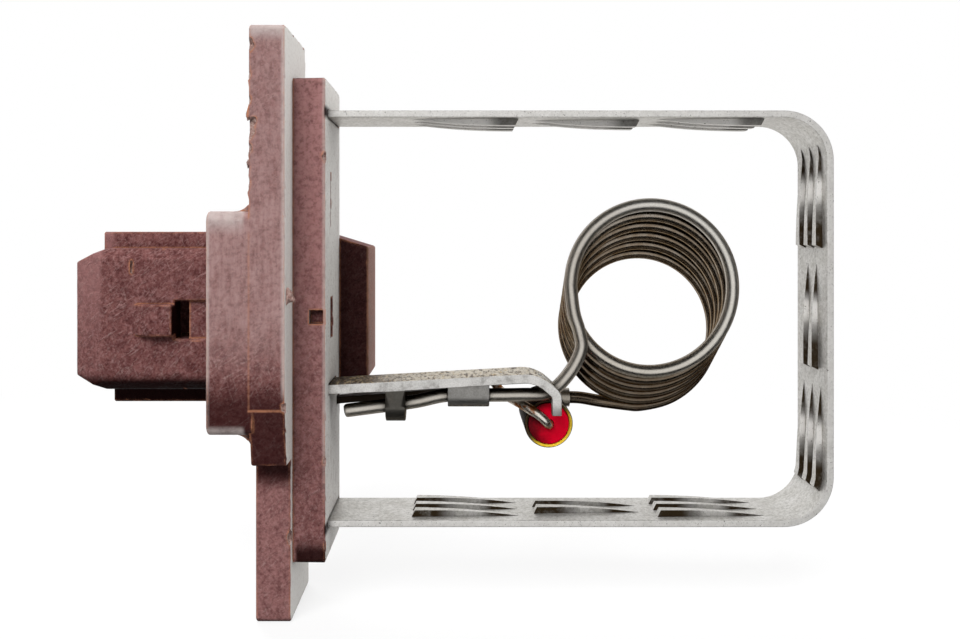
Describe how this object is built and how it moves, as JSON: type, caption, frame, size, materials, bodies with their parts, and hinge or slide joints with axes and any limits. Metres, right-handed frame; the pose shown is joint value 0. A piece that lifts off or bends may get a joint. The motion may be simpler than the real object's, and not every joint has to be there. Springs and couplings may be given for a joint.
{
  "type": "blower motor resistor",
  "caption": "Plug-in blower speed resistor: moulded flange with connector shroud, lanced ribbon loop, wire coil on a crimp strip and an axial thermal cut-off in the air stream.",
  "frame": {"origin": "connector axis in the plane where the flange's ears seat on the duct wall", "axes": "+X into the duct along the ribbon, +Z along the flange towards its upper ear, +Y to the side with the support block"},
  "size_m": [0.0883, 0.0244, 0.0669],
  "materials": {
    "phenolic": "brown thermoset with a hazy bloom and chipped edges",
    "ribbon_steel": "satin rolled ribbon with small dark specks",
    "strip_steel": "dull plated strip with soot stains",
    "blade_brass": "tin-plated brass",
    "resistance_wire": "drawn wire with brown heat tint",
    "sleeve_metal": "dull plated sleeve",
    "cutoff_brass": "bright rolled brass",
    "sealing_resin": "glossy red resin",
    "lead_metal": "plated copper lead",
    "bush_ceramic": "unglazed ceramic",
    "spring_steel": "plain spring steel",
    "contact_silver": "silver-plated contact",
    "pellet_compound": "pressed organic pellet"
  },
  "bodies": {
    "root": {"base_moulding": "phenolic", "ribbon_loop": "ribbon_steel", "front_terminal_strip": "strip_steel", "rear_terminal_strip": "strip_steel", "upper_blade": "blade_brass", "lower_blade": "blade_brass", "resistance_coil": "resistance_wire", "splice_sleeve": "sleeve_metal", "cutoff_case": "cutoff_brass", "cutoff_seal": "sealing_resin", "cutoff_front_lead": "lead_metal", "cutoff_bush": "bush_ceramic", "cutoff_trip_spring": "spring_steel", "cutoff_star_contact": "contact_silver", "cutoff_front_disc": "spring_steel", "cutoff_barrel_spring": "spring_steel", "cutoff_rear_disc": "spring_steel", "cutoff_pellet": "pellet_compound", "cutoff_rear_lead": "lead_metal"}
  },
  "joints": []
}
